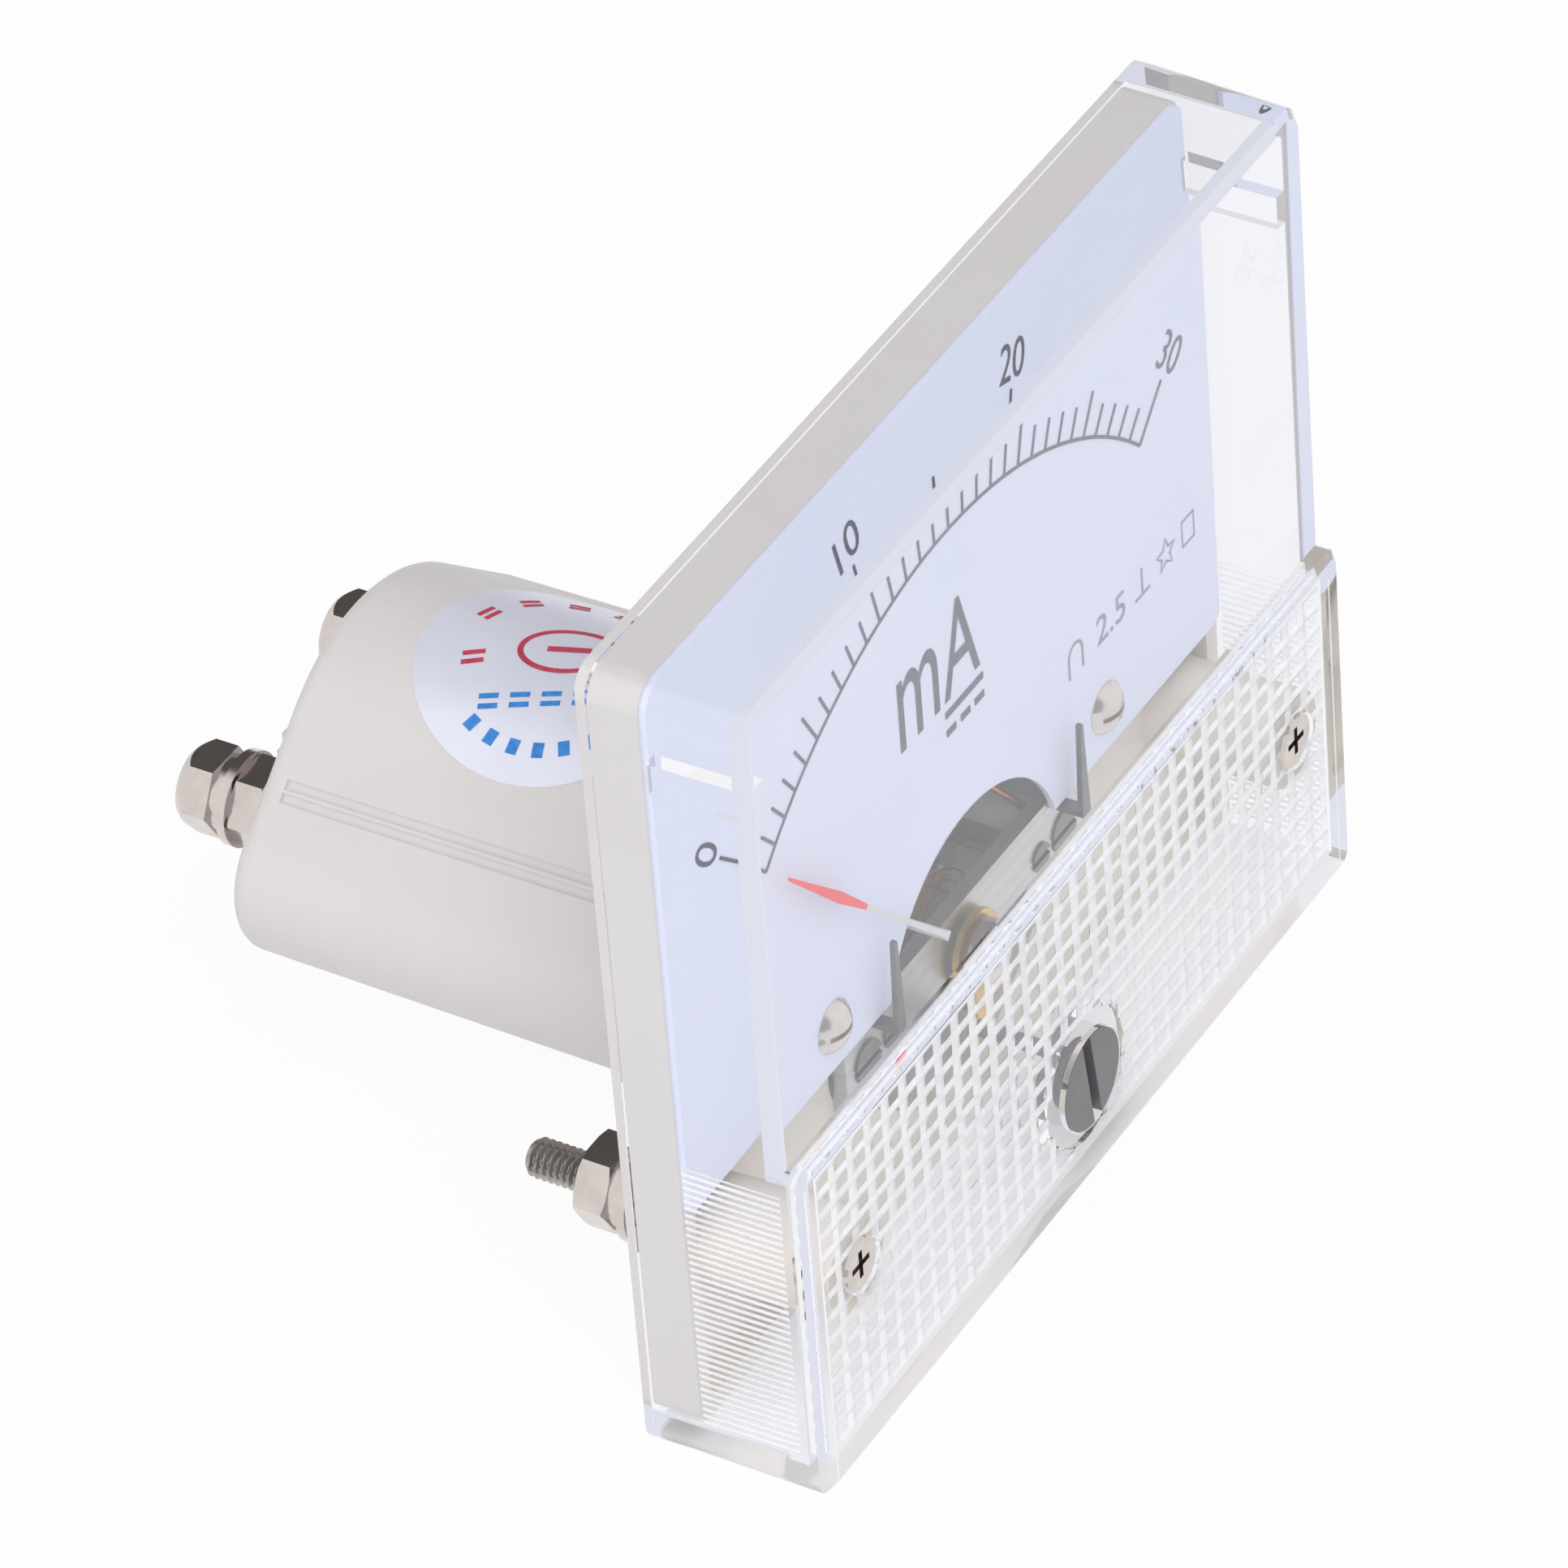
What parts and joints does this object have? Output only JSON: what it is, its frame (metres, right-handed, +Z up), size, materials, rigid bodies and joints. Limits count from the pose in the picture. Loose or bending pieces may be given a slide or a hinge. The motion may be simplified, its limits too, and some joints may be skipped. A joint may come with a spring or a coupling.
{
  "type": "analog panel meter",
  "caption": "Moving coil panel meter with a clear rectangular cover, pale blue dial, needle, zero adjuster, rear barrel, studs and screw terminals.",
  "frame": {"origin": "centre of the bezel on the face that meets the panel", "axes": "+X to the right of the reader, +Y into the panel along the needle axis, +Z up along the dial"},
  "size_m": [0.064, 0.0556, 0.056],
  "materials": {
    "cream_plastic": "satin moulded cream plastic",
    "clear_plastic": "clear polished acrylic",
    "dial_paint": "matt pale blue paint on aluminium sheet",
    "dial_ink": "dark grey printing",
    "nickel": "nickel plated steel",
    "steel": "plain steel sheet",
    "soft_iron": "phosphated soft iron",
    "magnet": "ground magnet alloy",
    "brass": "turned brass",
    "spring_bronze": "bronze strip",
    "copper": "enamelled copper wire",
    "aluminium": "bent sheet and wire",
    "needle_paint": "aluminium with a red tip",
    "ruby": "polished synthetic ruby",
    "grey_plastic": "grey moulded plastic",
    "label_paper": "coated paper sticker"
  },
  "bodies": {
    "case": {"base_housing": "cream_plastic", "front_cover": "clear_plastic", "dial_plate": "dial_paint", "scale_print": "dial_ink", "dial_screws": "nickel", "cover_screws": "nickel", "mounting_studs": "nickel", "stud_washers": "nickel", "stud_spring_washers": "nickel", "stud_nuts": "nickel", "terminal_inserts": "brass", "terminal_washers": "nickel", "terminal_nuts": "nickel", "terminal_spring_washers": "nickel", "terminal_bolts": "nickel", "solder_tags": "brass", "lead_wires": "copper", "shunt_resistor": "copper", "round_label": "label_paper", "front_bridge": "steel", "bridge_screws": "steel", "bridge_pillars": "brass", "yoke_ring": "soft_iron", "core_magnet": "magnet", "core_supports": "brass", "rear_pillars": "brass", "rear_bridge": "steel", "rear_screws": "brass", "front_jewel_screw": "nickel", "rear_jewel_screw": "brass", "front_jewel": "ruby", "rear_jewel": "ruby", "needle_stops": "steel"},
    "moving_element": {"coil_former": "aluminium", "moving_coil": "copper", "front_spindle": "steel", "rear_spindle": "steel", "needle": "needle_paint", "balance_arms": "aluminium", "balance_weights": "brass", "front_hairspring": "spring_bronze", "rear_hairspring": "spring_bronze"},
    "adjuster": {"zero_adjuster": "grey_plastic"},
    "fork": {"zero_fork": "brass"}
  },
  "joints": [
    {"name": "needle_turn", "type": "hinge", "parent": "case", "child": "moving_element", "pos_m": [0, 0, -0.0135], "axis": [0, 1, 0], "range_deg": [-3, 93], "stiffness_Nm_per_rad": 0.000008, "deforming": ["front_hairspring", "rear_hairspring"]},
    {"name": "adjuster_turn", "type": "hinge", "parent": "case", "child": "adjuster", "pos_m": [0, 0, -0.0209], "axis": [0, 1, 0], "range_deg": [-35, 35]},
    {"name": "fork_turn", "type": "hinge", "parent": "case", "child": "fork", "pos_m": [0, 0, -0.0135], "axis": [0, 1, 0], "range_deg": [-7, 7]}
  ],
  "couplings": [
    {"joint": "fork_turn", "follows": "adjuster_turn", "ratio": -0.1935}
  ]
}
